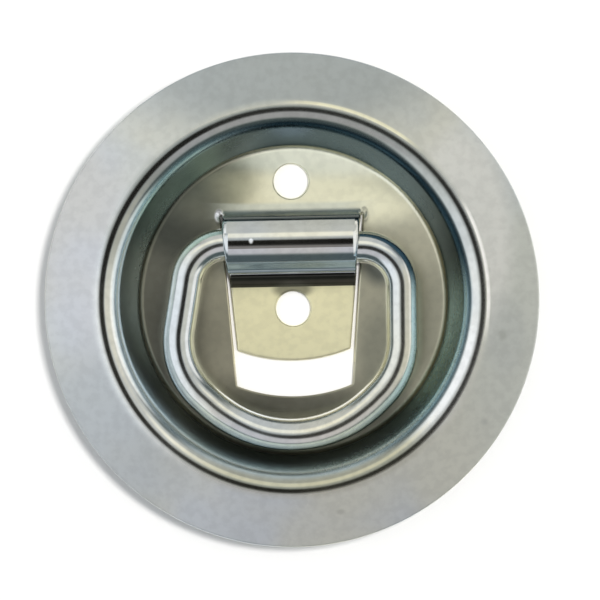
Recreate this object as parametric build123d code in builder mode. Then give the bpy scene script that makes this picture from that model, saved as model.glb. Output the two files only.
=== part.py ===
from build123d import *
import os
from math import cos, radians, sin, tan

os.makedirs("parts", exist_ok=True)

# A recessed pan fitting with a lashing ring. Millimetres. X runs along the hinge, Y from the bow of the
# ring towards the hinge, Z out of the recess. The origin is the centre of the floor's underside.

# Pan, one pressed sheet
sheet = 1.6                 # thickness of the sheet
pan_diameter = 120.0        # over the rim of the flange
crest_diameter = 92.6       # highest circle, between the flange and the wall
pan_height = 16.5           # from the underside of the floor to the crest
flange_fall = 13.0          # degrees that the flange falls outwards
wall_angle = 72.0           # degrees of the wall above the floor
crest_bend = 5.0            # outer radius of the crest
floor_bend = 1.5            # inner radius between the wall and the floor
rim_round = 0.5             # rounding of the trimmed rim

# Ring, one bent bar
bar_diameter = 8.0
ring_skew = 2.2             # degrees that the loose bar lies askew in its barrel
ring_head_left = 24.4       # corners of the centre line, from the middle of the barrel
ring_head_right = 26.9
ring_side_left = 29.6
ring_side_right = 26.6
ring_drop_left = 29.6       # side corners below the barrel's axis
ring_drop_right = 31.2
ring_drop_bow = 57.5        # corner of the bow below the barrel's axis
head_bend = 9.8             # centre line radii
side_bend = 18.4
bow_bend = 29.2

# Hinge tongue, lanced from the floor and formed over the bar
hinge_y = 13.3              # axis of the barrel
bar_play = 1.0              # between the bar and the barrel
floor_play = 0.3            # between the ring and the floor
foot_bend = 3.0             # inner radius where the barrel meets the floor
tongue_root_half = 17.3     # half width at the root
tongue_end_half = 13.9      # half width at the corners of the end
tongue_corner_y = -12.2     # corners of the end
tongue_corner_round = 0.8
end_sweep = 38.0            # radius of the arc that ends the tongue and the window
lance_gap = 0.5             # side gap between the tongue and the window at the root
window_end_half = 14.2      # half width at the lower corners of the window
window_corner_y = -20.9     # lower corners of the window
relief = 0.9                # radius of the relief at each end of the lance cut

# Bolt holes
bolt_hole = 8.5
upper_hole_y = 29.4
lower_hole_y = -2.0

# Section of the pan, along the middle of its sheet
crest_middle = crest_bend - sheet / 2
floor_middle = floor_bend + sheet / 2
half_turn = radians((wall_angle + flange_fall) / 2)
corner_lean = radians(90 + (wall_angle - flange_fall) / 2)
corner_reach = crest_middle / cos(half_turn)
shoulder_r = crest_diameter / 2 + corner_reach * cos(corner_lean)
shoulder_z = pan_height - crest_bend + corner_reach * sin(corner_lean)
floor_corner_r = shoulder_r - (shoulder_z - sheet / 2) / tan(radians(wall_angle))
fall_cos, fall_sin = cos(radians(flange_fall)), sin(radians(flange_fall))
rim_r = pan_diameter / 2 - sheet / 2 * fall_sin + rim_round * (fall_cos + fall_sin - 1)
rim_z = shoulder_z - (rim_r - shoulder_r) * tan(radians(flange_fall))

# Section of the hinge barrel
hinge_z = sheet + floor_play + bar_diameter / 2
barrel_middle = bar_diameter / 2 + bar_play + sheet / 2
barrel_outer = barrel_middle + sheet / 2
foot_middle = foot_bend + sheet / 2
root_y = hinge_y + barrel_outer + foot_bend

window_root_half = tongue_root_half + lance_gap

with BuildPart() as pan:
    with BuildSketch(Plane.XZ):
        with BuildLine():
            FilletPolyline(
                (0, sheet / 2),
                (floor_corner_r, sheet / 2),
                (shoulder_r, shoulder_z),
                (rim_r, rim_z),
                radius=[floor_middle, crest_middle],
            )
        trace(line_width=sheet)
    revolve(axis=Axis.Z)
    fillet(pan.edges().filter_by(GeomType.CIRCLE).sort_by(SortBy.RADIUS)[-2:], rim_round)

    # The window that the lanced tongue leaves in the floor
    with BuildSketch(Plane.XY) as window_plan:
        with BuildLine():
            Polyline(
                (-window_end_half, window_corner_y),
                (-window_root_half, root_y),
                (window_root_half, root_y),
                (window_end_half, window_corner_y),
            )
            RadiusArc((window_end_half, window_corner_y), (-window_end_half, window_corner_y), end_sweep)
        make_face()
        fillet(window_plan.vertices().group_by(Axis.Y)[-1], relief)
    extrude(amount=sheet, mode=Mode.SUBTRACT)

    with BuildSketch(Plane.XY):
        with Locations((0, upper_hole_y)):
            Circle(bolt_hole / 2)
    extrude(amount=sheet, mode=Mode.SUBTRACT)

with BuildPart() as tongue:
    # Side view of the formed strip
    with BuildSketch(Plane.YZ):
        with BuildLine():
            FilletPolyline(
                (root_y + relief, sheet / 2),
                (hinge_y + barrel_middle, sheet / 2),
                (hinge_y + barrel_middle, hinge_z),
                radius=foot_middle,
            )
            CenterArc((hinge_y, hinge_z), barrel_middle, 0, 180)
            FilletPolyline(
                (hinge_y - barrel_middle, hinge_z),
                (hinge_y - barrel_middle, sheet / 2),
                (window_corner_y, sheet / 2),
                radius=foot_middle,
            )
        trace(line_width=sheet)
    extrude(amount=tongue_root_half, both=True)

    # Plan of the strip, trimmed to its taper and its end arc
    with BuildSketch(Plane.XY) as tongue_plan:
        with BuildLine():
            Polyline(
                (-tongue_end_half, tongue_corner_y),
                (-tongue_root_half, root_y),
                (tongue_root_half, root_y),
                (tongue_end_half, tongue_corner_y),
            )
            RadiusArc((tongue_end_half, tongue_corner_y), (-tongue_end_half, tongue_corner_y), end_sweep)
        make_face()
        fillet(tongue_plan.vertices().group_by(Axis.Y)[0], tongue_corner_round)
        with Locations((0, lower_hole_y)):
            Circle(bolt_hole / 2, mode=Mode.SUBTRACT)
    extrude(amount=pan_height, mode=Mode.INTERSECT)

with pan:
    add(tongue.part)

pan.part.label = "pan"
export_step(pan.part, "parts/pan.step")

# The ring lies flat above the floor, so its path is in one level plane
skew_rise = tan(radians(ring_skew))
with BuildPart() as ring:
    with BuildLine(Plane.XY.offset(hinge_z)) as ring_path:
        FilletPolyline(
            (0, hinge_y),
            (-ring_head_left, hinge_y + ring_head_left * skew_rise),
            (-ring_side_left, hinge_y - ring_drop_left),
            (0, hinge_y - ring_drop_bow),
            (ring_side_right, hinge_y - ring_drop_right),
            (ring_head_right, hinge_y - ring_head_right * skew_rise),
            (0, hinge_y),
            radius=[0, head_bend, side_bend, bow_bend, side_bend, head_bend],
        )
    with BuildSketch(ring_path.line ^ 0):
        Circle(bar_diameter / 2)
    sweep()
ring.part.label = "ring"
export_step(ring.part, "parts/ring.step")
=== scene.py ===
"""Looks of a recessed tie-down ring: a pressed, zinc-plated pan and the bent bar that swings in its hinge hump.

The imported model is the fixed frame. Each sub-assembly is a class that holds its sizes, builds its mesh and
dresses it. Sizes in the classes are millimetres, and meshes are written in metres.
"""

import logging
import math
from dataclasses import dataclass
from enum import Enum

import bmesh
import bpy
import numpy as np
from mathutils import Matrix, Vector
from mathutils.geometry import delaunay_2d_cdt


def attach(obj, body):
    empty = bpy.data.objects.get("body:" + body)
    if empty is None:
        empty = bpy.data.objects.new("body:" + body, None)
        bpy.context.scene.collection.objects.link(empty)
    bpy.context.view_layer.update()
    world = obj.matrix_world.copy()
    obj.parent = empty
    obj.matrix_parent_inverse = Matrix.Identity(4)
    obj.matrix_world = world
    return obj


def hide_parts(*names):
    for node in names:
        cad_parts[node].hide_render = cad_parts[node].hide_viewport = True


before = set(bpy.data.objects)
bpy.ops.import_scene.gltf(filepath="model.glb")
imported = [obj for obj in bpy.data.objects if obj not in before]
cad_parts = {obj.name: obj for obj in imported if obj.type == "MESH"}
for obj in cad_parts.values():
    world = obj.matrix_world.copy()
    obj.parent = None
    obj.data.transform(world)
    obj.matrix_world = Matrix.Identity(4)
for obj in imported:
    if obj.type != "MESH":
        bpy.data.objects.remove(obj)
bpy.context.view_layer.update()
MM = 0.001
LOG = logging.getLogger("tie_down_ring")

MERGE = 2e-6            # metres within which two points of a mesh are one
TINY = 1e-7             # length that counts as none
STRAIGHT = 1e-6         # radians of turn that count as none
EDGE_STEP = 15          # degrees between the points of a rounded edge
EDGE_SWINGS = (         # round an edge from the upper face to the under one: the face's sign, the swing from it
    *((1, math.radians(angle)) for angle in range(0, 91, EDGE_STEP)),
    *((-1, math.radians(angle)) for angle in range(90, -1, -EDGE_STEP)),
)
RAMP_INPUTS = ("Value", "From Min", "From Max", "To Min", "To Max")
MIX_INPUTS = (0, 6, 7)  # the Mix node's sockets for the factor and for two colours
MIX_OUTPUT = 2          # its socket for the mixed colour
GRAIN_PART = 0.2        # part of the dullness that follows the grain, and not the drift of tone

Point = tuple[float, float]
Span = tuple[float, float]
Tone = tuple[float, float, float]
Socket = bpy.types.NodeSocket


class Body(Enum):
    """The two bodies of the fitting."""

    PAN = "pan"
    RING = "ring"


class Side(Enum):
    """The two faces of the sheet, as the sign of the way from its middle."""

    UPPER = 1.0
    UNDER = -1.0


def turned(arm: np.ndarray, angle: float) -> np.ndarray:
    """Turn a flat vector anticlockwise by an angle in radians."""
    cosine, sine = math.cos(angle), math.sin(angle)
    return np.array([arm[0] * cosine - arm[1] * sine, arm[0] * sine + arm[1] * cosine])


def unit(rows: np.ndarray) -> np.ndarray:
    """Rows of vectors, each brought to a length of one."""
    return rows / np.linalg.norm(rows, axis=1)[:, None]


def on_circle(centre: Point, radius: float, angles: np.ndarray) -> np.ndarray:
    """Points of a circle at angles in radians."""
    return np.array(centre) + radius * np.stack([np.cos(angles), np.sin(angles)], axis=1)


def fillet_path(corners: list[Point], radii: list[float], turn_step: float = 3.0) -> np.ndarray:
    """Round the inner corners of an open polyline.

    Args:
        corners: The corners, with the two ends.
        radii: One radius for each inner corner.
        turn_step: Degrees of turn between points on a round stretch.

    Returns:
        The points of the rounded line, ends included.
    """
    points = [np.array(corners[0], float)]
    for before, corner, after, radius in zip(corners, corners[1:], corners[2:], radii):
        middle = np.array(corner, float)
        into = middle - np.array(before, float)
        into /= np.linalg.norm(into)
        out = np.array(after, float) - middle
        out /= np.linalg.norm(out)
        cross = into[0] * out[1] - into[1] * out[0]
        turn = math.atan2(cross, float(into @ out))
        if radius <= 0 or abs(turn) < STRAIGHT:
            points.append(middle)
            continue
        reach = radius * math.tan(abs(turn) / 2)
        normal = np.array([-into[1], into[0]]) * math.copysign(1.0, turn)
        centre = middle - into * reach + normal * radius
        count = max(2, int(abs(math.degrees(turn)) / turn_step))
        points.extend(centre + turned(-normal * radius, turn * k / count) for k in range(count + 1))
    points.append(np.array(corners[-1], float))
    return np.array(points)


def arc_through(start: Point, end: Point, radius: float, count: int) -> list[np.ndarray]:
    """Points of the shallow arc from start to end that bulges to the right of the way.

    Args:
        start: First point.
        end: Last point.
        radius: Radius of the arc.
        count: Number of spans.

    Returns:
        The points, ends included.
    """
    first, last = np.array(start, float), np.array(end, float)
    chord = last - first
    half = np.linalg.norm(chord) / 2
    along = chord / (2 * half)
    left = np.array([-along[1], along[0]])
    centre = (first + last) / 2 + left * math.sqrt(radius * radius - half * half)
    sweep = 2 * math.asin(half / radius)
    return [centre + turned(first - centre, sweep * k / count) for k in range(count + 1)]


def spaced(points: np.ndarray, step: float) -> np.ndarray:
    """Add points on the long spans of a line.

    Args:
        points: The line.
        step: The longest span to leave.

    Returns:
        The line with the added points.
    """
    result = [points[0]]
    for a, b in zip(points, points[1:]):
        parts = max(1, math.ceil(np.linalg.norm(b - a) / step))
        result.extend(a + (b - a) * k / parts for k in range(1, parts + 1))
    return np.array(result)


def smooth_step(low: float, high: float, value: np.ndarray) -> np.ndarray:
    """A soft ramp from 0 at low to 1 at high."""
    share = np.clip((value - low) / (high - low), 0, 1)
    return share * share * (3 - 2 * share)


def inside(point: Vector, loop: np.ndarray) -> bool:
    """Test a place against a closed outline.

    Args:
        point: The place in plan.
        loop: The outline's points.

    Returns:
        Whether the place lies inside.
    """
    x, y = loop[:, 0], loop[:, 1]
    x_next, y_next = np.roll(x, -1), np.roll(y, -1)
    spans = (y > point.y) != (y_next > point.y)
    with np.errstate(divide="ignore", invalid="ignore"):
        crossing = x + (point.y - y) * (x_next - x) / (y_next - y)
    return bool(np.count_nonzero(spans & (point.x < crossing)) % 2)


def clearance(points: np.ndarray, loop: np.ndarray) -> np.ndarray:
    """Measure how near points come to a closed outline in plan.

    Args:
        points: The points.
        loop: The outline's points.

    Returns:
        The shortest distance from each point.
    """
    span = np.roll(loop, -1, axis=0) - loop
    away = points[:, None, :] - loop[None, :, :]
    share = np.clip((away * span).sum(axis=2) / np.maximum((span * span).sum(axis=1), 1e-12), 0, 1)
    return np.linalg.norm(away - share[:, :, None] * span, axis=2).min(axis=1)


class MeshStore:
    """Collects the points and faces of one mesh, in millimetres."""

    def __init__(self) -> None:
        """Start with nothing."""
        self.points: list[np.ndarray] = []
        self.faces: list[tuple[int, ...]] = []

    def add_points(self, points: np.ndarray) -> list[int]:
        """Add points and return their numbers."""
        self.points.extend(np.array(points, float))
        return list(range(len(self.points) - len(points), len(self.points)))

    def add_strip(self, rows: list[np.ndarray], closed: bool = False, flip: bool = False) -> None:
        """Join rows of points with quads.

        Args:
            rows: Rows of as many points each.
            closed: Whether each row runs round.
            flip: Whether the faces look the other way.
        """
        numbers = [self.add_points(row) for row in rows]
        for near, far in zip(numbers, numbers[1:]):
            size = len(near)
            for k in range(size if closed else size - 1):
                j = (k + 1) % size
                quad = (near[k], near[j], far[j], far[k])
                self.faces.append(quad[::-1] if flip else quad)

    def add_sheet(self, outer: np.ndarray, holes: list[np.ndarray], inner: np.ndarray, flip: bool) -> None:
        """Fill a nearly level outline with holes.

        Args:
            outer: The outline.
            holes: The holes.
            inner: More points that the fill passes through.
            flip: Whether it looks down.
        """
        loops = [outer, *holes]
        corners, edges = [], []
        for loop in loops:
            first, size = len(corners), len(loop)
            corners.extend(loop)
            edges.extend((first + k, first + (k + 1) % size) for k in range(size))
        corners.extend(inner)
        flat = [Vector((float(p[0]), float(p[1]))) for p in corners]
        points, _, triangles, origins, *_ = delaunay_2d_cdt(flat, edges, [], 0, TINY)
        numbers = self.add_points(np.array([corners[origin[0]] for origin in origins]))
        for triangle in triangles:
            middle = sum((points[k] for k in triangle), Vector((0, 0))) / 3
            if sum(inside(middle, loop) for loop in loops) == 1:
                face = tuple(numbers[k] for k in triangle)
                self.faces.append(face[::-1] if flip else face)

    def to_bmesh(self) -> bmesh.types.BMesh:
        """Turn the store into an editable mesh.

        Returns:
            The mesh in metres, with its doubles not merged yet.
        """
        made = bmesh.new()
        corners = [made.verts.new(p * MM) for p in self.points]
        for face in self.faces:
            made.faces.new([corners[k] for k in face])
        return made


class NodeTree:
    """A short hand for building node trees."""

    def __init__(self, tree: bpy.types.NodeTree) -> None:
        """Take the tree and empty it."""
        self.tree = tree
        self.tree.nodes.clear()

    def add(self, kind: str, inputs: dict | None = None, **settings: object) -> bpy.types.Node:
        """Add a node.

        Args:
            kind: Blender's name of the node type.
            inputs: Values or output sockets, by input name or number.
            **settings: Properties of the node.

        Returns:
            The node.
        """
        node = self.tree.nodes.new(kind)
        for name, value in settings.items():
            setattr(node, name, value)
        for key, value in (inputs or {}).items():
            if isinstance(value, Socket):
                self.tree.links.new(value, node.inputs[key])
            else:
                node.inputs[key].default_value = value
        return node

    def math(self, operation: str, *values: object) -> Socket:
        """A Math node's output for up to three values."""
        return self.add("ShaderNodeMath", dict(enumerate(values)), operation=operation).outputs[0]

    def vector(self, operation: str, *values: object) -> Socket:
        """A Vector Math node's output for up to two vectors, which is a length where it measures one."""
        node = self.add("ShaderNodeVectorMath", dict(enumerate(values)), operation=operation)
        return node.outputs["Value" if operation == "LENGTH" else "Vector"]

    def ramp(self, value: Socket, low: float, high: float, start: float, end: float) -> Socket:
        """A smooth ramp of a value from low..high to start..end."""
        inputs = dict(zip(RAMP_INPUTS, (value, low, high, start, end)))
        return self.add("ShaderNodeMapRange", inputs, interpolation_type="SMOOTHSTEP").outputs["Result"]

    def past(self, length: Socket, border: Span) -> Socket:
        """Share by which a length has passed a soft border, given in millimetres."""
        return self.ramp(length, border[0] * MM, border[1] * MM, 0.0, 1.0)

    def fade(self, reach: Socket, soft: float) -> Socket:
        """Share of a patch at a reach from its middle, with its soft edge at a reach of 1."""
        return self.ramp(reach, 1.0 - soft / 2, 1.0 + soft / 2, 1.0, 0.0)

    def rest(self, share: Socket) -> Socket:
        """What a share leaves of the whole."""
        return self.math("SUBTRACT", 1.0, share)

    def mix(self, factor: object, first: object, second: object) -> Socket:
        """A mix of two colours or sockets, for a share of the second one."""
        colours = ((*value, 1.0) if isinstance(value, tuple) else value for value in (first, second))
        return self.add("ShaderNodeMix", dict(zip(MIX_INPUTS, (factor, *colours))),
                        data_type="RGBA").outputs[MIX_OUTPUT]


def sweep_tree(name: str, steps: str, radius: str, along: bool) -> NodeTree:
    """A Geometry Nodes tree that sweeps a line and a circle along each other.

    Args:
        name: The tree's name.
        steps: Name of its input for the number of points on the circle.
        radius: Name of its input for the circle's radius.
        along: Whether the line is the path, and not the section.

    Returns:
        The tree, which ends in smooth, real geometry with its material.
    """
    group = bpy.data.node_groups.new(name, "GeometryNodeTree")
    for label, way, kind in (("Geometry", "OUTPUT", "Geometry"), ("Geometry", "INPUT", "Geometry"),
                             ("Material", "INPUT", "Material"), (steps, "INPUT", "Int"),
                             (radius, "INPUT", "Float")):
        group.interface.new_socket(label, in_out=way, socket_type="NodeSocket" + kind)
    tree = NodeTree(group)
    given = tree.add("NodeGroupInput").outputs
    line = tree.add("GeometryNodeMeshToCurve", {"Mesh": given["Geometry"]})
    circle = tree.add("GeometryNodeCurvePrimitiveCircle", {"Resolution": given[steps], "Radius": given[radius]})
    path, section = (line, circle) if along else (circle, line)
    swept = tree.add("GeometryNodeCurveToMesh",
                     {"Curve": path.outputs["Curve"], "Profile Curve": section.outputs["Curve"]})
    smooth = tree.add("GeometryNodeSetShadeSmooth", {"Geometry": swept.outputs["Mesh"]})
    real = tree.add("GeometryNodeRealizeInstances", {"Geometry": smooth.outputs[0]})
    dressed = tree.add("GeometryNodeSetMaterial", {"Geometry": real.outputs[0], "Material": given["Material"]})
    tree.add("NodeGroupOutput", {0: dressed.outputs[0]})
    return tree


def linked(name: str, data: bpy.types.ID) -> bpy.types.Object:
    """Put a new object into the scene.

    Args:
        name: Its name.
        data: What it holds, such as a mesh.

    Returns:
        The object.
    """
    made = bpy.data.objects.new(name, data)
    bpy.context.scene.collection.objects.link(made)
    return made


def grow(name: str, points: np.ndarray, closed: bool, tree: NodeTree,
         inputs: dict[str, object]) -> bpy.types.Mesh:
    """Run a Geometry Nodes tree on a line of points and keep the result as a plain mesh.

    Args:
        name: Name of the mesh.
        points: The line, in metres.
        closed: Whether its end joins its start.
        tree: The tree.
        inputs: Values for the tree's named inputs.

    Returns:
        The mesh that the tree makes.
    """
    count = len(points)
    edges = [(k, (k + 1) % count) for k in range(count if closed else count - 1)]
    line = bpy.data.meshes.new(name + "_line")
    line.from_pydata([tuple(p) for p in points], edges, [])
    holder = linked(name + "_line", line)
    modifier = holder.modifiers.new("grow", "NODES")
    modifier.node_group = tree.tree
    for item in tree.tree.interface.items_tree:
        if item.in_out == "INPUT" and item.name in inputs:
            modifier[item.identifier] = inputs[item.name]
    graph = bpy.context.evaluated_depsgraph_get()
    mesh = bpy.data.meshes.new_from_object(holder.evaluated_get(graph))
    holder.modifiers.remove(modifier)
    bpy.data.objects.remove(holder)
    mesh.name = name
    return mesh


def settle(mesh: bpy.types.Mesh, name: str, body: Body) -> bpy.types.Object:
    """Make a mesh the piece that rides on its body, and hide the imported mesh of that body.

    Args:
        mesh: The mesh, in metres.
        name: The piece's name.
        body: The body that carries it.

    Returns:
        The piece.
    """
    piece = linked(name, mesh)
    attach(piece, body.value)
    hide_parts(body.value)
    return piece


class Area(Enum):
    """The areas of the fitting that wear their plate differently."""

    ALL = "all"
    FLOOR = "floor"
    HUMP = "hump"
    WALL = "wall"
    CREST = "crest"
    LIP = "lip"
    FLANGE = "flange"


class Outline(Enum):
    """The outlines of a cloud in plan."""

    OVAL = "oval"
    SQUARE = "square"


OVAL, SQUARE = Outline
Shares = dict[Area, Socket | float]


@dataclass(frozen=True)
class Coat:
    """What a finish is painted with.

    Attributes:
        tree: The material's nodes.
        place: Object coordinates.
        shares: Shares of the areas there.
    """

    tree: NodeTree
    place: Socket
    shares: Shares


@dataclass(frozen=True)
class Cloud:
    """A soft-edged patch on one area.

    Attributes:
        area: Where it lies.
        outline: Its outline.
        across: Place of its middle along X in millimetres.
        along: Place of its middle along Y.
        wide: Half its size along X.
        tall: Half its size along Y.
        soft: Share of its size over which it fades.
    """

    area: Area
    outline: Outline
    across: float
    along: float
    wide: float
    tall: float
    soft: float

    def cover(self, coat: Coat) -> Socket:
        """Measure how far the cloud covers a place.

        Args:
            coat: The coat that it lies in.

        Returns:
            The socket with the share, from 0 to 1.
        """
        tree = coat.tree
        shift = tree.vector("SUBTRACT", coat.place, (self.across * MM, self.along * MM, 0.0))
        scaled = tree.vector("MULTIPLY", shift, (1 / MM / self.wide, 1 / MM / self.tall, 0.0))
        if self.outline is OVAL:
            reach = tree.vector("LENGTH", scaled)
        else:
            sides = tree.add("ShaderNodeSeparateXYZ", {0: tree.vector("ABSOLUTE", scaled)}).outputs
            reach = tree.math("MAXIMUM", sides["X"], sides["Y"])
        return tree.math("MULTIPLY", tree.fade(reach, self.soft), coat.shares[self.area])


@dataclass(frozen=True)
class StainOrPaintedLight(Cloud):
    """A cloud of another tone in the plating, with the share of it that shows. A few are real specks; most are
    painted shade, painted highlights and painted reflections.
    """

    strength: float
    tone: Tone


@dataclass(frozen=True)
class Lean(Cloud):
    """A cloud where the metal isn't quite true, as the slopes of its normal along X and Y."""

    slope_x: float
    slope_y: float

    def whole(self, coat: Coat) -> Tone | Socket:
        """The vector that a full cover adds to the normal."""
        return self.slope_x, self.slope_y, 0.0

    def slope(self, coat: Coat) -> Socket:
        """The vector that it adds to the normal at a place."""
        inputs = {0: self.whole(coat), "Scale": self.cover(coat)}
        return coat.tree.add("ShaderNodeVectorMath", inputs, operation="SCALE").outputs[0]


@dataclass(frozen=True)
class Flare(Lean):
    """A lean that grows with the way from the pan's axis, by its slopes for each millimetre."""

    def whole(self, coat: Coat) -> Socket:
        """The vector that a full cover adds to the normal."""
        return coat.tree.vector("MULTIPLY", coat.place, (self.slope_x / MM, self.slope_y / MM, 0.0))


def clouds(kind: type[Cloud], area: Area, *rows: tuple) -> list[Cloud]:
    """Clouds of one kind on one area, from rows of their other values."""
    return [kind(area, *row) for row in rows]


@dataclass(frozen=True)
class Noise:
    """A noise over the plate.

    Attributes:
        scale: Number of its lumps along a metre.
        detail: Its detail.
        low: Value that counts as none of it.
        high: Value that counts as all of it.
    """

    scale: float
    detail: float
    low: float = 0.0
    high: float = 1.0

    def value(self, coat: Coat) -> Socket:
        """The plain noise."""
        inputs = {"Vector": coat.place, "Scale": self.scale, "Detail": self.detail}
        return coat.tree.add("ShaderNodeTexNoise", inputs).outputs["Fac"]

    def share(self, coat: Coat, start: float = 0.0, end: float = 1.0) -> Socket:
        """The noise, brought to a range from start to end."""
        return coat.tree.ramp(self.value(coat), self.low, self.high, start, end)


PATCHES = Noise(30.0, 2.0, 0.36, 0.64)
GRAIN = Noise(700.0, 2.0, 0.3, 0.7)
RIPPLES = Noise(60.0, 1.5)
SPOTS = Noise(480.0, 4.0, 0.34, 0.62)


@dataclass(frozen=True)
class ZincPlate:
    """A bright zinc plate, whose tone drifts between bluish and yellowish.

    Attributes:
        name: The material's name.
        cool: Tone of the bluish patches.
        warm: Tone of the yellowish patches.
        gloss_low: Roughness where it is brightest.
        gloss_high: Roughness where it is dullest.
        ripple: Depth of the faint ripples in millimetres.
        mottle: Share by which small spots are darker.
        leans: Where the metal under it isn't quite true.
    """

    name: str
    cool: Tone
    warm: Tone
    gloss_low: float
    gloss_high: float
    ripple: float
    mottle: float
    leans: tuple[Lean, ...] = ()

    def areas(self, tree: NodeTree, place: Socket) -> Shares:
        """Shares of the areas at a place."""
        return {Area.ALL: 1.0}

    def tone(self, coat: Coat, drift: Socket) -> Socket:
        """The plate's colour for a share of the warm tone."""
        return coat.tree.mix(drift, self.cool, self.warm)

    def gloss(self, coat: Coat, dull: Socket) -> Socket:
        """The plate's roughness for a share of dullness."""
        return coat.tree.math("MULTIPLY_ADD", dull, self.gloss_high - self.gloss_low, self.gloss_low)

    def true_normal(self, coat: Coat) -> Socket:
        """The normal that the leans start from."""
        return coat.tree.add("ShaderNodeNewGeometry").outputs["Normal"]

    def level(self, coat: Coat) -> Socket:
        """The normal that the ripples start from.

        Args:
            coat: The coat.

        Returns:
            The socket with the true normal and its leans.
        """
        normal = self.true_normal(coat)
        for lean in self.leans:
            normal = coat.tree.vector("ADD", normal, lean.slope(coat))
        return coat.tree.vector("NORMALIZE", normal)

    def build(self) -> bpy.types.Material:
        """Make the material.

        Returns:
            The material.
        """
        material = bpy.data.materials.new(self.name)
        material.use_nodes = True
        tree = NodeTree(material.node_tree)
        place = tree.add("ShaderNodeTexCoord").outputs["Object"]
        coat = Coat(tree, place, self.areas(tree, place))
        drift = PATCHES.share(coat)
        dull = tree.math("MULTIPLY_ADD", GRAIN.share(coat), GRAIN_PART,
                         tree.math("MULTIPLY", drift, 1 - GRAIN_PART))
        bump = tree.add("ShaderNodeBump", {"Height": RIPPLES.value(coat), "Strength": 1.0,
                                           "Distance": self.ripple * MM, "Normal": self.level(coat)})
        colour = tree.mix(SPOTS.share(coat, self.mottle, 0.0), self.tone(coat, drift), (0.0, 0.0, 0.0))
        shader = tree.add("ShaderNodeBsdfPrincipled",
                          {"Base Color": colour, "Metallic": 1.0,
                           "Roughness": self.gloss(coat, dull), "Normal": bump.outputs["Normal"]})
        tree.add("ShaderNodeOutputMaterial", {"Surface": shader.outputs[0]})
        return material


@dataclass(frozen=True)
class SheetZinc(ZincPlate):
    """The sheet's plate, duller on the flange than in the bends, darker and bluish down the wall, partly from
    thinner plating and partly as painted shade and painted reflection, and clouded with real specks and with
    painted shade, painted highlights and painted reflections.

    Attributes:
        stains_and_painted_light: Its real specks, and its painted shade, painted highlights and painted
            reflections.
        wall_tone_and_shade: Tone of the wall, darker and bluish, partly painted shade and painted reflection.
        dull_areas: Roughness added on some of the areas.
        floor_end: Heights in millimetres between which the floor ends.
        wall_end: Heights between which the wall ends.
        hump_end: Radii in millimetres between which what rises is no longer the hinge hump.
        flange_start: Radii between which the flange begins.
        lip_start: Radii between which the lip begins, where the crest runs out.
        lip_end: Radii between which it ends.
    """

    stains_and_painted_light: tuple[StainOrPaintedLight, ...] = ()
    wall_tone_and_shade: Tone = (0.54, 0.69, 0.74)
    dull_areas: tuple[tuple[Area, float], ...] = ((Area.FLANGE, 0.30), (Area.FLOOR, 0.20), (Area.WALL, 0.11))
    floor_end: Span = (2.0, 3.2)
    wall_end: Span = (15.0, 16.0)
    hump_end: Span = (35.8, 37.2)
    flange_start: Span = (46.0, 49.0)
    lip_start: Span = (47.1, 47.45)
    lip_end: Span = (47.8, 48.3)

    def areas(self, tree: NodeTree, place: Socket) -> Shares:
        """Tell the areas apart by a place's radius and height.

        Args:
            tree: The material's nodes.
            place: Object coordinates.

        Returns:
            Shares of the areas there.
        """
        radius = tree.vector("LENGTH", tree.vector("MULTIPLY", place, (1.0, 1.0, 0.0)))
        height = tree.add("ShaderNodeSeparateXYZ", {0: place}).outputs["Z"]
        raised, high = tree.past(height, self.floor_end), tree.past(height, self.wall_end)
        outer, flange = tree.past(radius, self.hump_end), tree.past(radius, self.flange_start)
        cup = tree.math("MULTIPLY", tree.math("MULTIPLY", raised, outer), tree.rest(flange))
        return {
            Area.ALL: 1.0,
            Area.FLOOR: tree.rest(tree.math("MAXIMUM", raised, flange)),
            Area.HUMP: tree.math("MULTIPLY", raised, tree.rest(outer)),
            Area.WALL: tree.math("MULTIPLY", cup, tree.rest(high)),
            Area.CREST: tree.math("MULTIPLY", cup, high),
            Area.LIP: tree.math("MULTIPLY", tree.past(radius, self.lip_start),
                                tree.rest(tree.past(radius, self.lip_end))),
            Area.FLANGE: flange,
        }

    def tone(self, coat: Coat, drift: Socket) -> Socket:
        """Lay the wall's tone, the real specks and the painted shade, highlights and reflections over the
        drifting tone.

        Args:
            coat: The coat.
            drift: Share of the warm tone.

        Returns:
            The colour's socket.
        """
        tree = coat.tree
        # The wall's colour is darker and bluish, partly as painted shade and painted reflection.
        colour = tree.mix(coat.shares[Area.WALL], super().tone(coat, drift), self.wall_tone_and_shade)
        # The clouds mix real specks and painted shade, painted highlights and painted reflections into the
        # colour.
        for stain_or_light in self.stains_and_painted_light:
            colour = tree.mix(tree.math("MULTIPLY", stain_or_light.cover(coat), stain_or_light.strength), colour, stain_or_light.tone)
        return colour

    def gloss(self, coat: Coat, dull: Socket) -> Socket:
        """Add the dullness of some areas to the plate's roughness.

        Args:
            coat: The coat.
            dull: Share of dullness in the plate itself.

        Returns:
            The socket with the roughness.
        """
        rough = super().gloss(coat, dull)
        for area, added in self.dull_areas:
            rough = coat.tree.math("MULTIPLY_ADD", coat.shares[area], added, rough)
        return rough


@dataclass(frozen=True)
class BarZinc(ZincPlate):
    """The bar's plate. The bar was bent cold, so it isn't quite round in its bends."""

    def true_normal(self, coat: Coat) -> Socket:
        """The normal that the leans start from, as seen from the bar."""
        return coat.tree.add("ShaderNodeTexCoord").outputs["Normal"]

    def level(self, coat: Coat) -> Socket:
        """The normal that the ripples start from, with leans that turn with the bar."""
        return coat.tree.add("ShaderNodeVectorTransform", {0: super().level(coat)}, vector_type="NORMAL",
                             convert_from="OBJECT", convert_to="WORLD").outputs[0]


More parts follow.
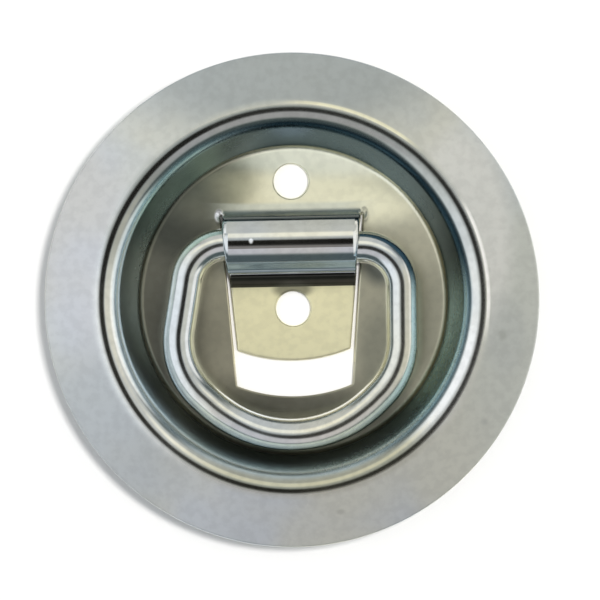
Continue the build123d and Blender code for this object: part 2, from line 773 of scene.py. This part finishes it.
SHEET_ZINC = SheetZinc(
    "sheet_zinc", (0.78, 0.82, 0.85), (0.86, 0.86, 0.78),
    gloss_low=0.12, gloss_high=0.17, ripple=0.02, mottle=0.07,
    stains_and_painted_light=(
        # Floor: the first cloud is the floor's own gold tone. The rest are painted: painted shade on the left,
        # at the bottom, beside the hump and inside the ring at the right; a painted pool of light at the upper
        # right; a painted reflection band on the root's bend; a painted highlight at the left root corner; and
        # the seat painted brighter, as lit where it tilts to the light.
        *clouds(StainOrPaintedLight, Area.FLOOR,
                (OVAL, 0.0, 0.0, 60.0, 60.0, 0.2, 1.0, (0.79, 0.75, 0.57)),
                (OVAL, -36.0, 2.0, 12.5, 36.0, 0.8, 0.95, (0.31, 0.31, 0.26)),
                (OVAL, 0.0, -34.0, 40.0, 14.0, 0.8, 0.85, (0.21, 0.21, 0.17)),
                (OVAL, 13.0, 31.0, 26.0, 13.0, 0.8, 1.0, (1.0, 0.99, 0.80)),
                (OVAL, -18.0, 29.0, 9.0, 8.0, 0.9, 0.8, (0.36, 0.37, 0.28)),
                (OVAL, -27.0, 22.0, 12.0, 11.0, 0.9, 0.9, (0.14, 0.15, 0.13)),
                (OVAL, 21.5, 8.5, 4.0, 5.0, 0.9, 0.8, (0.15, 0.17, 0.16)),
                (OVAL, 22.0, -14.0, 6.0, 12.0, 0.9, 0.6, (0.34, 0.35, 0.28)),
                (OVAL, 36.0, -9.0, 6.0, 17.0, 0.9, 0.55, (0.38, 0.37, 0.28)),
                (SQUARE, 0.0, 22.4, 16.6, 1.6, 0.7, 0.6, (0.68, 0.74, 0.72)),
                (OVAL, -17.9, 21.2, 1.0, 1.4, 0.9, 1.0, (1.0, 1.0, 1.0)),
                (SQUARE, 0.0, -5.5, 14.9, 9.9, 0.04, 0.95, (1.0, 0.955, 0.66))),
        # Painted shade: a near-black band in front of the hump's foot.
        *clouds(StainOrPaintedLight, Area.ALL, (SQUARE, 0.0, 4.87, 15.7, 1.52, 0.08, 0.95, (0.03, 0.03, 0.025))),
        # Painted reflection: the hump's dark front, seen in the floor above the lower hole.
        *clouds(StainOrPaintedLight, Area.FLOOR, (OVAL, 0.0, 2.6, 4.6, 2.0, 0.7, 0.7, (0.14, 0.14, 0.11))),
        # Hump: a painted teal reflection band low on its front, a painted dark reflection band along the
        # barrel's top, painted shade at the root, and a painted glint on a small nib of plating.
        *clouds(StainOrPaintedLight, Area.HUMP,
                (SQUARE, 0.0, 7.9, 22.0, 1.2, 0.5, 0.8, (0.30, 0.40, 0.42)),
                (SQUARE, 0.0, 13.5, 15.2, 1.0, 0.04, 0.8, (0.22, 0.21, 0.18)),
                (SQUARE, 0.0, 20.3, 22.0, 0.8, 0.5, 0.95, (0.05, 0.07, 0.08)),
                (OVAL, -9.6, 14.5, 0.4, 0.55, 0.7, 0.7, (1.0, 1.0, 1.0))),
        # Wall: painted shade, darkest at the upper right, and painted reflection tints, lighter on the left and
        # at the lower right.
        *clouds(StainOrPaintedLight, Area.WALL,
                (OVAL, 25.0, 30.0, 40.0, 38.0, 0.5, 1.0, (0.045, 0.093, 0.125)),
                (OVAL, -28.0, 28.0, 11.0, 13.0, 0.9, 0.9, (0.70, 0.95, 0.95)),
                (OVAL, 40.0, -14.0, 14.0, 18.0, 0.9, 0.9, (0.60, 0.82, 0.90)),
                (OVAL, -34.0, -18.0, 30.0, 34.0, 0.8, 1.0, (0.84, 0.94, 1.0)),
                (OVAL, 2.0, -42.0, 34.0, 14.0, 0.8, 0.9, (0.64, 0.73, 0.74))),
        # Crest: painted shade at the top, the bottom and the upper sides, and painted light at the lower sides.
        *clouds(StainOrPaintedLight, Area.CREST,
                (OVAL, 4.0, 40.0, 48.0, 26.0, 0.5, 0.8, (0.42, 0.45, 0.43)),
                (OVAL, 8.0, -44.0, 34.0, 14.0, 0.8, 0.75, (0.48, 0.48, 0.36)),
                (OVAL, 40.0, 22.0, 12.0, 13.0, 0.8, 0.5, (0.50, 0.52, 0.49)),
                (OVAL, -39.0, 22.0, 12.0, 14.0, 0.8, 0.6, (0.42, 0.44, 0.40)),
                (OVAL, -40.0, -16.0, 18.0, 22.0, 0.8, 0.9, (1.0, 1.0, 0.95)),
                (OVAL, 40.0, -20.0, 14.0, 14.0, 0.8, 0.9, (1.0, 1.0, 0.98))),
        # Flange: painted shade at the top, the lower left and the right, and painted light at the upper right.
        *clouds(StainOrPaintedLight, Area.FLANGE,
                (OVAL, 0.0, 54.0, 36.0, 14.0, 0.9, 0.85, (0.50, 0.545, 0.57)),
                (OVAL, -44.0, -30.0, 20.0, 22.0, 0.9, 0.6, (0.58, 0.61, 0.62)),
                (OVAL, -50.0, 14.0, 12.0, 26.0, 0.9, 0.5, (0.80, 0.79, 0.84)),
                (OVAL, 54.0, 4.0, 16.0, 44.0, 0.9, 0.5, (0.74, 0.785, 0.79)),
                (OVAL, 41.0, 14.0, 12.5, 26.0, 0.5, 0.9, (1.0, 1.0, 0.98)),
                (OVAL, 51.5, -9.5, 5.0, 9.0, 0.9, 0.4, (0.66, 0.69, 0.70))),
        # Painted highlight: the bright line just outside the crest, at the top and at the right.
        *clouds(StainOrPaintedLight, Area.LIP,
                (OVAL, 18.0, 44.0, 17.0, 9.0, 0.7, 1.0, (1.0, 0.98, 0.78)),
                (OVAL, 47.0, 9.0, 8.0, 17.0, 0.7, 1.0, (1.0, 1.0, 0.98))),
        *clouds(StainOrPaintedLight, Area.FLANGE,
                (OVAL, 46.0, -30.5, 0.8, 0.7, 1.4, 0.35, (0.50, 0.52, 0.50)),
                (OVAL, 11.0, -51.5, 1.0, 0.6, 1.4, 0.45, (0.50, 0.50, 0.44)),
                (OVAL, 50.9, -9.5, 0.9, 1.2, 1.4, 0.45, (0.48, 0.50, 0.47))),
    ),
    leans=(
        *clouds(Flare, Area.FLOOR, (OVAL, 0.0, 0.0, 60.0, 60.0, 0.2, -0.003, 0.0022)),
        *clouds(Lean, Area.HUMP,
                (SQUARE, 0.0, 13.3, 40.0, 16.0, 0.1, 0.0, -0.14),
                (SQUARE, 0.0, 22.0, 40.0, 3.15, 0.92, 0.0, -0.67),
                (SQUARE, 0.0, 4.0, 40.0, 3.4, 1.0, 0.0, 1.2),
                (SQUARE, 0.0, 7.2, 40.0, 0.3, 0.8, 0.0, 0.25),
                (SQUARE, -16.05, 18.1, 0.42, 1.75, 0.1, -0.32, -0.28),
                (SQUARE, -15.65, 13.3, 0.42, 3.1, 0.1, -0.45, 0.0),
                (SQUARE, 16.05, 18.1, 0.42, 1.75, 0.1, 0.38, -0.28),
                (SQUARE, 15.65, 13.3, 0.42, 3.1, 0.1, 0.62, 0.0),
                (OVAL, -9.6, 14.4, 0.5, 0.65, 0.9, -0.26, 0.04)),
        *clouds(Lean, Area.LIP,
                (OVAL, 47.0, 9.0, 8.0, 17.0, 0.7, 0.36, 0.0),
                (OVAL, 18.0, 44.0, 17.0, 9.0, 0.7, -0.06, 0.05)),
        *clouds(Lean, Area.FLOOR,
                (SQUARE, 0.0, -6.0, 14.9, 10.0, 0.04, 0.0, 0.21),
                (OVAL, 4.0, 26.0, 34.0, 8.0, 0.8, 0.0, 0.19),
                (OVAL, 8.0, 36.0, 26.0, 6.0, 0.9, -0.30, -0.04),
                (OVAL, -17.9, 21.2, 1.0, 1.4, 0.9, -0.12, -0.55),
                (OVAL, 17.9, 21.1, 0.9, 1.5, 0.9, 0.30, -0.55)),
    ),
)
BAR_ZINC = BarZinc(
    "bar_zinc", (0.80, 0.84, 0.86), (0.88, 0.87, 0.78),
    gloss_low=0.14, gloss_high=0.20, ripple=0.02, mottle=0.08,
    leans=(Lean(Area.ALL, OVAL, 2.0, -46.0, 24.0, 16.0, 0.8, 0.0, 0.17),),
)


@dataclass
class Pan:
    """The pressed pan with its lanced hinge tongue. Lengths are millimetres and angles degrees."""

    sheet: float = 1.6
    diameter: float = 119.99
    crest_diameter: float = 92.6
    height: float = 16.48
    flange_fall: float = 13.0
    wall_angle: float = 72.0
    crest_bend: float = 5.0
    floor_bend: float = 1.5
    rim_round: float = 0.5
    section_step: float = 0.8       # longest span of the turned section
    turns: int = 360
    hinge_y: float = 13.3
    hinge_z: float = 5.9
    barrel_inner: float = 5.0
    barrel_step: int = 4            # turn between the rows of the barrel
    foot_bend: float = 3.0
    root_half: float = 17.3
    end_half: float = 13.9
    corner_y: float = -12.2
    corner_round: float = 0.8
    row_step: float = 0.5           # longest span between the rows of the tongue
    columns: int = 36               # points across it
    end_sweep: float = 38.0
    end_spans: int = 48             # of the swept ends
    end_turn: float = 9.0           # turn between the points of their corners
    end_clear: float = 2.2          # way from a corner to the next point of the arc, in corner radii
    lance_gap: float = 0.4
    lance_short: float = 1.9        # way from the root to the end of a lance cut
    lance_turn: int = 20            # turn between the points round the cut's end
    lance_run: float = 3.2          # stretch of the window's side that has points of its own
    lance_points: int = 8
    lance_bulge: float = 0.05
    lip: float = 2.2                # reach of the root's lift beside the cut
    lift_run: float = 2.5           # reach of it along the cut
    grid: tuple[int, int] = (110, 18)
    grid_past: float = 3.0          # reach of the grid past the lifted metal
    grid_behind: float = 0.4        # reach of it behind the root
    grid_clear: float = 0.25        # room between the grid and the cut's edge
    window_half: float = 14.2
    window_y: float = -20.9
    window_round: float = 0.5
    bolt_hole: float = 8.5
    hole_points: int = 96
    upper_hole_y: float = 29.4
    lower_hole_y: float = -2.0
    edge_round: float = 0.45
    collar: float = 0.25            # width of the flat band along a rounded edge
    floor_ring: float = 1.0         # width of the band round the flat floor
    finish: ZincPlate = SHEET_ZINC

    @property
    def root_y(self) -> float:
        """Where the flat floor ends and the hump begins."""
        return self.hinge_y + self.barrel_inner + self.sheet + self.foot_bend

    @property
    def foot_y(self) -> float:
        """Where the hump ends and the flat seat begins."""
        return self.hinge_y - self.barrel_inner - self.sheet - self.foot_bend

    @property
    def floor_r(self) -> float:
        """Radius where the flat floor ends, on the section's middle line."""
        return self.section_middle()[0][0]

    def section_middle(self) -> np.ndarray:
        """Draw the middle line of the turned sheet.

        Returns:
            Its points from the flat floor to the rim, as radius and height.
        """
        fall, wall = math.radians(self.flange_fall), math.radians(self.wall_angle)
        crest_middle = self.crest_bend - self.sheet / 2
        floor_middle = self.floor_bend + self.sheet / 2
        lean = math.pi / 2 + (wall - fall) / 2
        reach = crest_middle / math.cos((wall + fall) / 2)
        shoulder_r = self.crest_diameter / 2 + reach * math.cos(lean)
        shoulder_z = self.height - self.crest_bend + reach * math.sin(lean)
        corner_r = shoulder_r - (shoulder_z - self.sheet / 2) / math.tan(wall)
        rim_r = (self.diameter / 2 - self.sheet / 2 * math.sin(fall)
                 + self.rim_round * (math.cos(fall) + math.sin(fall) - 1))
        rim_z = shoulder_z - (rim_r - shoulder_r) * math.tan(fall)
        corners = [(0.0, self.sheet / 2), (corner_r, self.sheet / 2), (shoulder_r, shoulder_z), (rim_r, rim_z)]
        return fillet_path(corners, [floor_middle, crest_middle])[1:]

    def section(self) -> np.ndarray:
        """Draw the outline of the turned sheet.

        Returns:
            Its points up the upper face, round the rim and back along the underside.
        """
        middle = spaced(self.section_middle(), self.section_step)
        way = np.gradient(middle, axis=0)
        way[0] = (1.0, 0.0)
        way[-1] = middle[-1] - middle[-2]
        way = unit(way)
        normal = np.stack([-way[:, 1], way[:, 0]], axis=1)
        half, rounding = self.sheet / 2, self.rim_round
        end, out, up = middle[-1], way[-1], normal[-1]
        rim = [end - out * rounding + up * sign * (half - rounding)
               + rounding * (out * math.sin(swing) + up * sign * math.cos(swing))
               for sign, swing in EDGE_SWINGS]
        upper = middle[:-1] + normal[:-1] * half
        under = middle[:-1] - normal[:-1] * half
        under[:, 1] = np.maximum(under[:, 1], 0.0)
        return np.array([*upper, *rim, *under[::-1]])

    def turned_shell(self, material: bpy.types.Material) -> bpy.types.Mesh:
        """Turn the section round the pan's axis with Geometry Nodes.

        Args:
            material: The material it wears.

        Returns:
            The mesh of flange, crest and wall.
        """
        reference = self.diameter / 2
        line = np.array([((r - reference) * MM, -z * MM, 0.0) for r, z in self.section()])
        tree = sweep_tree("turned_sheet", "Turns", "Turning radius", along=False)
        inputs = {"Turns": self.turns, "Turning radius": reference * MM, "Material": material}
        return grow("pan_shell", line, False, tree, inputs)

    def tongue_rows(self) -> tuple[np.ndarray, np.ndarray]:
        """The formed strip from the end of its lance cuts to its foot, seen from the side.

        Returns:
            The points of the middle line as Y and Z, and the unit normals of the upper face.
        """
        half, foot, step = self.sheet / 2, self.foot_bend + self.sheet / 2, self.barrel_step
        middle_r = self.barrel_inner + self.sheet / 2
        behind, before = self.hinge_y + middle_r, self.hinge_y - middle_r
        up = fillet_path([(self.root_y + 1, half), (behind, half), (behind, self.hinge_z)], [foot], step)
        over = on_circle((self.hinge_y, self.hinge_z), middle_r, np.radians(np.arange(step, 180, step)))
        down = fillet_path([(before, self.hinge_z), (before, half), (self.foot_y, half)], [foot], step)
        line = spaced(np.array([*up[1:], *over, *down[:-1]]), self.row_step)
        way = np.gradient(line, axis=0)
        way[0] = way[-1] = (-1.0, 0.0)
        way = unit(way)
        first = int(np.argmax(line[:, 0] <= self.root_y - self.lance_short))
        return line[first:], np.stack([way[:, 1], -way[:, 0]], axis=1)[first:]

    def tongue_half(self, y: float | np.ndarray) -> float | np.ndarray:
        """Half the tongue's width at a place along it."""
        share = (self.root_y - y) / (self.root_y - self.corner_y)
        return self.root_half + (self.end_half - self.root_half) * share

    def lift(self, place: np.ndarray, side: float) -> np.ndarray:
        """How far the floor is drawn up by the root's bend and round the ends of the lance cuts.

        Args:
            place: Places in plan.
            side: The face, from -1 for the under face to 1 for the upper one.

        Returns:
            The lift at each place.
        """
        x, y = np.abs(place[:, 0]), place[:, 1]
        cut = self.root_y - self.lance_short
        radius = self.foot_bend + self.sheet / 2 * (1 - side)
        run = np.clip(self.root_y - np.maximum(y, cut), 0, None)
        rise = radius - np.sqrt(radius * radius - run * run)
        beside = 1 - smooth_step(0.0, self.lip, x - self.tongue_half(y))
        return rise * beside * smooth_step(cut - self.lift_run, cut, y)

    def raised(self, place: np.ndarray, side: float) -> np.ndarray:
        """Places in plan, put on a face of the floor."""
        return np.column_stack([place, self.sheet / 2 * (1 + side) + self.lift(place, side)])

    def floor_normals(self, place: np.ndarray) -> np.ndarray:
        """Find how the floor lies round the root.

        Args:
            place: Places in plan.

        Returns:
            The unit normals there.
        """
        step = 0.02
        slopes = [(self.lift(place + shift, 0) - self.lift(place - shift, 0)) / (2 * step)
                  for shift in (np.array([step, 0.0]), np.array([0.0, step]))]
        return unit(np.column_stack([-slopes[0], -slopes[1], np.ones(len(place))]))

    def swept_end(self, start: Point, half: float, y: float, rounding: float) -> np.ndarray:
        """Draw an edge round a swept end, from one side to the same place on the other.

        Args:
            start: Where it starts.
            half: Half the arc's width.
            y: Place of the arc's corners along Y.
            rounding: Radius of the corners.

        Returns:
            The points, both ends included.
        """
        arc = arc_through((-half, y), (half, y), self.end_sweep, self.end_spans)
        if start[0] > 0:
            arc.reverse()
        near = self.end_clear * rounding
        kept = [p for p in arc[1:-1] if min(math.dist(p, arc[0]), math.dist(p, arc[-1])) >= near]
        corners = [start, arc[0], *kept, arc[-1], (-start[0], start[1])]
        return fillet_path(corners, [rounding, *[0.0] * len(kept), rounding], self.end_turn)

    def window_outline(self, cut: float) -> np.ndarray:
        """Draw the window's edge in plan.

        Args:
            cut: Where the lance cuts end along Y.

        Returns:
            Its points from the right end of the lance cut round the bottom to the left one.
        """
        side, radius = self.tongue_half(cut) + self.lance_gap, self.lance_gap / 2
        end = on_circle((side - radius, cut), radius, np.radians(np.arange(160, -1, -self.lance_turn)))
        taper = (side - self.window_half) / (cut - self.window_y)
        share = np.linspace(0, 1, self.lance_points)[1:]
        drop = share * self.lance_run
        bulge = self.lance_bulge * np.sin(math.pi * share)
        right = np.array([*end, *np.column_stack([side - taper * drop + bulge, cut - drop])])
        bottom = self.swept_end(tuple(right[-1]), self.window_half, self.window_y, self.window_round)
        return np.array([*right, *bottom[1:-1], *(right[::-1] * (-1, 1))])

    def lanced_loop(self) -> tuple[np.ndarray, np.ndarray, int, int]:
        """The closed edge round the lance cut and its window.

        Returns:
            The points on the sheet's middle, the unit normals of its upper face there, and the numbers of
            the points on the strip's rows and on the seat.
        """
        rows, normals = self.tongue_rows()
        left = np.array([(-self.tongue_half(y), y, z) for y, z in rows])
        right = left[::-1] * (-1, 1, 1)
        row_normals = np.array([(0.0, *n) for n in normals])
        foot = (-self.tongue_half(self.foot_y), self.foot_y)
        outline = self.swept_end(foot, self.end_half, self.corner_y, self.corner_round)
        seat = np.array([(x, y, self.sheet / 2) for x, y in outline[1:-1]])
        window = self.window_outline(float(rows[0][0]))
        points = np.array([*left, *seat, *right, *self.raised(window, 0)])
        faces = np.array([*row_normals, *[(0.0, 0.0, 1.0)] * len(seat), *row_normals[::-1],
                          *self.floor_normals(window)])
        return points, faces, len(rows), len(seat)

    def rounded_edge(self, store: MeshStore, points: np.ndarray, normals: np.ndarray) -> dict[Side, np.ndarray]:
        """Build the rounded cut edge along a closed line, with a narrow collar on both faces.

        Args:
            store: The mesh to add to.
            points: The line on the sheet's middle, with the gap on its right seen from above.
            normals: The upper face's normals along it.

        Returns:
            The inner line of the collar on each face.
        """
        ahead = unit(np.roll(points, -1, axis=0) - points)
        out = unit(np.cross(ahead + np.roll(ahead, 1, axis=0), normals))
        half, rounding = self.sheet / 2, self.edge_round
        inner = points - out * (rounding + self.collar)
        rows = [inner + normals * half]
        for sign, swing in EDGE_SWINGS:
            reach = rounding * (math.sin(swing) - 1)
            rise = sign * (half - rounding + rounding * math.cos(swing))
            rows.append(points + out * reach + normals * rise)
        rows.append(inner - normals * half)
        store.add_strip(rows, closed=True, flip=True)
        return {Side.UPPER: rows[0], Side.UNDER: rows[-1]}

    def hole_edge(self, store: MeshStore, centre_y: float) -> dict[Side, np.ndarray]:
        """Build the rounded edge of a bolt hole.

        Args:
            store: The mesh to add to.
            centre_y: Place of the hole along Y.

        Returns:
            The inner line of the collar on each face.
        """
        angles = np.linspace(0, -2 * math.pi, self.hole_points, endpoint=False)
        plan = on_circle((0.0, centre_y), self.bolt_hole / 2, angles)
        points = np.column_stack([plan, np.full(len(plan), self.sheet / 2)])
        return self.rounded_edge(store, points, np.tile((0.0, 0.0, 1.0), (len(points), 1)))

    def corner_points(self, loop: np.ndarray, side: float) -> np.ndarray:
        """Set points on the floor where the hump's root lifts it.

        Args:
            loop: The inner line of the cut's collar.
            side: The face, -1 for the under one and 1 for the upper one.

        Returns:
            The points that lie clear of the cut's edge.
        """
        columns, rows = self.grid
        reach = self.root_half + self.grid_past
        before = self.root_y - self.lance_short - self.grid_past
        across = np.linspace(-reach, reach, columns)
        along = np.linspace(before, self.root_y + self.grid_behind, rows)
        grid = np.array([(x, y) for y in along for x in across])
        grid = grid[clearance(grid, loop[:, :2]) > self.grid_clear]
        kept = [place for place in grid if not inside(Vector(place), loop[:, :2])]
        return self.raised(np.array(kept), side)

    def build_floor(self) -> MeshStore:
        """Build the flat floor, the lanced tongue over the bar and the cut edges.

        Returns:
            The mesh, with doubled points where its parts meet.
        """
        store = MeshStore()
        points, normals, row_count, seat_count = self.lanced_loop()
        lanced = self.rounded_edge(store, points, normals)
        upper_hole, lower_hole = (self.hole_edge(store, y) for y in (self.upper_hole_y, self.lower_hole_y))
        angles = np.linspace(0, 2 * math.pi, self.turns, endpoint=False)
        floor_edge = on_circle((0.0, 0.0), self.floor_r, angles)
        ring_edge = floor_edge * (1 - self.floor_ring / self.floor_r)
        shares = np.linspace(0, 1, self.columns)[:, None]
        right_start = row_count + seat_count
        for side in Side:
            line = lanced[side]
            flip = side is Side.UNDER
            left, right = line[:row_count], line[right_start:right_start + row_count][::-1]
            strip = [a + (b - a) * shares for a, b in zip(left, right)]
            store.add_strip(strip, flip=not flip)
            seat = np.array([*line[row_count - 1:right_start + 1], *strip[-1][1:-1][::-1]])
            store.add_sheet(seat, [lower_hole[side]], np.empty((0, 3)), flip)
            window = np.array([*line[right_start + row_count - 1:], line[0], *strip[0][1:-1]])
            level = [self.raised(edge, side.value) for edge in (floor_edge, ring_edge)]
            store.add_sheet(level[1], [window, upper_hole[side]], self.corner_points(window, side.value), flip)
            store.add_strip(level, closed=True, flip=flip)
        return store

    def build(self) -> bpy.types.Object:
        """Build the whole pan as one closed mesh and let it stand for its node.

        Returns:
            The piece.
        """
        material = self.finish.build()
        made = self.build_floor().to_bmesh()
        made.from_mesh(self.turned_shell(material))
        bmesh.ops.remove_doubles(made, verts=made.verts, dist=MERGE)
        bmesh.ops.dissolve_degenerate(made, dist=TINY, edges=made.edges)
        bmesh.ops.recalc_face_normals(made, faces=made.faces)
        for face in made.faces:
            face.smooth = True
        LOG.info("pan: %d open edges", sum(not edge.is_manifold for edge in made.edges))
        mesh = bpy.data.meshes.new("pressed_pan")
        made.to_mesh(mesh)
        made.free()
        mesh.materials.append(material)
        return settle(mesh, "pressed_pan", Body.PAN)


@dataclass
class Ring:
    """The bent bar. Corners are millimetres from the middle of the barrel."""

    bar: float = 8.0
    hinge_y: float = 13.3
    hinge_z: float = 5.9
    skew: float = 2.2
    head_left: float = 24.4
    head_right: float = 26.9
    side_left: float = 29.6
    side_right: float = 26.6
    drop_left: float = 29.6
    drop_right: float = 31.2
    drop_bow: float = 57.5
    head_bend: float = 9.8
    side_bend: float = 18.4
    bow_bend: float = 29.2
    around: int = 72
    turn_step: float = 1.5          # degrees of bend between sections
    row_step: float = 1.0           # longest span between them
    finish: ZincPlate = BAR_ZINC

    def centre_line(self) -> np.ndarray:
        """Draw the bar's closed centre line.

        Returns:
            Its points in metres.
        """
        rise = math.tan(math.radians(self.skew))
        corners = [
            (0.0, 0.0),
            (-self.head_left, self.head_left * rise),
            (-self.side_left, -self.drop_left),
            (0.0, -self.drop_bow),
            (self.side_right, -self.drop_right),
            (self.head_right, -self.head_right * rise),
            (0.0, 0.0),
        ]
        radii = [self.head_bend, self.side_bend, self.bow_bend, self.side_bend, self.head_bend]
        flat = spaced(fillet_path(corners, radii, self.turn_step), self.row_step)[:-1]
        return np.array([(x * MM, (y + self.hinge_y) * MM, self.hinge_z * MM) for x, y in flat])

    def build(self) -> bpy.types.Object:
        """Sweep the bar's section along its line with Geometry Nodes and let it stand for its node.

        Returns:
            The piece.
        """
        tree = sweep_tree("bent_bar", "Around", "Bar radius", along=True)
        inputs = {"Around": self.around, "Bar radius": self.bar / 2 * MM, "Material": self.finish.build()}
        mesh = grow("lashing_ring", self.centre_line(), True, tree, inputs)
        return settle(mesh, "lashing_ring", Body.RING)


@dataclass(frozen=True)
class SkyPatch:
    """A soft-edged area of the studio round the object, placed as a lens sees it in a mirror ball.

    Attributes:
        across: Place along X, as the tangent of half the angle from straight above.
        up: Place along Y.
        wide: Half its size along X.
        tall: Half its size along Y.
        soft: Share of its size over which it fades.
        tone: Its colour.
    """

    across: float
    up: float
    wide: float
    tall: float
    soft: float
    tone: Tone


@dataclass
class Studio:
    """Camera, floor, lamp and the soft studio round the object.

    The camera's lengths are millimetres and its angles degrees, and the other lengths are metres.
    """

    image_width: float = 145.45
    camera_distance: float = 700.0
    camera_right: float = 2.0
    camera_down: float = 1.0
    camera_roll: float = 1.05
    target: tuple[float, float, float] = (2.08, -0.17, 13.0)
    sensor: float = 36.0
    sight: Span = (0.01, 20.0)
    paper: float = 0.9
    floor_glow: float = 0.03
    floor_half: float = 3.0
    floor_depth: float = 0.0002
    lamp_place: tuple[float, float, float] = (0.20, 0.06, 1.0)
    lamp_size: float = 0.12
    lamp_watts: float = 7.0
    lamp_tone: Tone = (1.0, 0.98, 0.96)
    room: Tone = (0.08, 0.105, 0.11)
    least_depth: float = 0.05       # keeps the way straight down from dividing by nothing
    patches: tuple[SkyPatch, ...] = (
        SkyPatch(0.0, 0.04, 0.54, 0.52, 0.25, (0.50, 0.52, 0.52)),
        SkyPatch(-0.40, 0.0, 0.24, 0.42, 0.5, (0.92, 0.95, 0.98)),
        SkyPatch(0.64, 0.0, 0.18, 0.50, 0.5, (1.0, 0.99, 0.96)),
        SkyPatch(0.34, -0.03, 0.16, 0.22, 0.6, (0.66, 0.65, 0.58)),
        SkyPatch(0.0, 0.74, 0.45, 0.36, 0.4, (0.58, 0.59, 0.58)),
        SkyPatch(0.0, 0.28, 0.28, 0.10, 0.6, (1.0, 0.97, 0.85)),
        SkyPatch(0.0, -0.28, 0.25, 0.16, 0.6, (0.60, 0.58, 0.60)),
        SkyPatch(0.04, -0.03, 0.13, 0.13, 0.5, (0.015, 0.014, 0.012)),
    )

    def build_camera(self) -> None:
        """Place the camera where the photograph was taken from."""
        data = bpy.data.cameras.new("camera")
        data.sensor_width = self.sensor
        data.lens = self.sensor * self.camera_distance / self.image_width
        data.clip_start, data.clip_end = self.sight
        camera = linked("camera", data)
        target = Vector(self.target) * MM
        side, down = math.radians(self.camera_right), math.radians(self.camera_down)
        away = Vector((math.sin(side), -math.sin(down), 1.0)).normalized()
        roll = math.radians(self.camera_roll)
        up = Vector((math.sin(roll), math.cos(roll), 0.0))
        right = up.cross(away).normalized()
        up = away.cross(right)
        turn = Matrix((right, up, away)).transposed()
        camera.matrix_world = Matrix.Translation(target + away * self.camera_distance * MM) @ turn.to_4x4()
        bpy.context.scene.camera = camera

    def build_world(self) -> None:
        """Paint the studio that the plate reflects."""
        world = bpy.data.worlds.new("studio")
        bpy.context.scene.world = world
        world.use_nodes = True
        tree = NodeTree(world.node_tree)
        way = tree.add("ShaderNodeTexCoord").outputs["Generated"]
        axes = tree.add("ShaderNodeSeparateXYZ", {0: way}).outputs
        depth = tree.math("MAXIMUM", tree.math("ADD", axes["Z"], 1.0), self.least_depth)
        across, up = (tree.math("DIVIDE", axes[axis], depth) for axis in "XY")
        tone: object = self.room
        for patch in self.patches:
            x = tree.math("DIVIDE", tree.math("SUBTRACT", across, patch.across), patch.wide)
            y = tree.math("DIVIDE", tree.math("SUBTRACT", up, patch.up), patch.tall)
            square = tree.math("ADD", tree.math("MULTIPLY", x, x), tree.math("MULTIPLY", y, y))
            tone = tree.mix(tree.fade(tree.math("SQRT", square), patch.soft), tone, patch.tone)
        light = tree.add("ShaderNodeBackground", {"Color": tone, "Strength": 1.0})
        tree.add("ShaderNodeOutputWorld", {"Surface": light.outputs[0]})

    def build_floor(self) -> None:
        """Lay a white floor under the object that keeps its shadow."""
        material = bpy.data.materials.new("white_floor")
        material.use_nodes = True
        tree = NodeTree(material.node_tree)
        paper = tree.add("ShaderNodeBsdfDiffuse", {"Color": (self.paper, self.paper, self.paper, 1.0)})
        glow = tree.add("ShaderNodeEmission", {"Color": (1.0, 1.0, 1.0, 1.0), "Strength": self.floor_glow})
        both = tree.add("ShaderNodeAddShader", {0: paper.outputs[0], 1: glow.outputs[0]})
        rays = tree.add("ShaderNodeLightPath").outputs
        mirrored = tree.math("MAXIMUM", rays["Is Glossy Ray"], rays["Is Transmission Ray"])
        seen = tree.math("MAXIMUM", rays["Is Camera Ray"], mirrored)
        pick = tree.add("ShaderNodeMixShader", {0: seen, 1: paper.outputs[0], 2: both.outputs[0]})
        tree.add("ShaderNodeOutputMaterial", {"Surface": pick.outputs[0]})
        size = self.floor_half
        mesh = bpy.data.meshes.new("floor")
        mesh.from_pydata([(-size, -size, 0), (size, -size, 0), (size, size, 0), (-size, size, 0)], [],
                         [(0, 1, 2, 3)])
        mesh.materials.append(material)
        floor = linked("floor", mesh)
        floor.location.z = -self.floor_depth

    def build_lamp(self) -> None:
        """Hang a soft square lamp over the object, aimed at it."""
        data = bpy.data.lights.new("key", "AREA")
        data.size, data.energy, data.color = self.lamp_size, self.lamp_watts, self.lamp_tone
        lamp = linked("key", data)
        lamp.location = self.lamp_place
        lamp.rotation_mode = "QUATERNION"
        lamp.rotation_quaternion = Vector(self.lamp_place).to_track_quat("Z", "Y")
        lamp.visible_glossy = False

    def build(self) -> None:
        """Set the whole studio up."""
        self.build_camera()
        self.build_world()
        self.build_floor()
        self.build_lamp()
        bpy.context.scene.view_settings.view_transform = "Standard"


def main() -> None:
    """Build the studio and the two pieces."""
    logging.basicConfig(level=logging.INFO, format="%(name)s: %(message)s")
    Studio().build()
    for assembly in (Pan(), Ring()):
        piece = assembly.build()
        LOG.info("%s: %d faces", piece.name, len(piece.data.polygons))


if __name__ == "__main__":
    main()
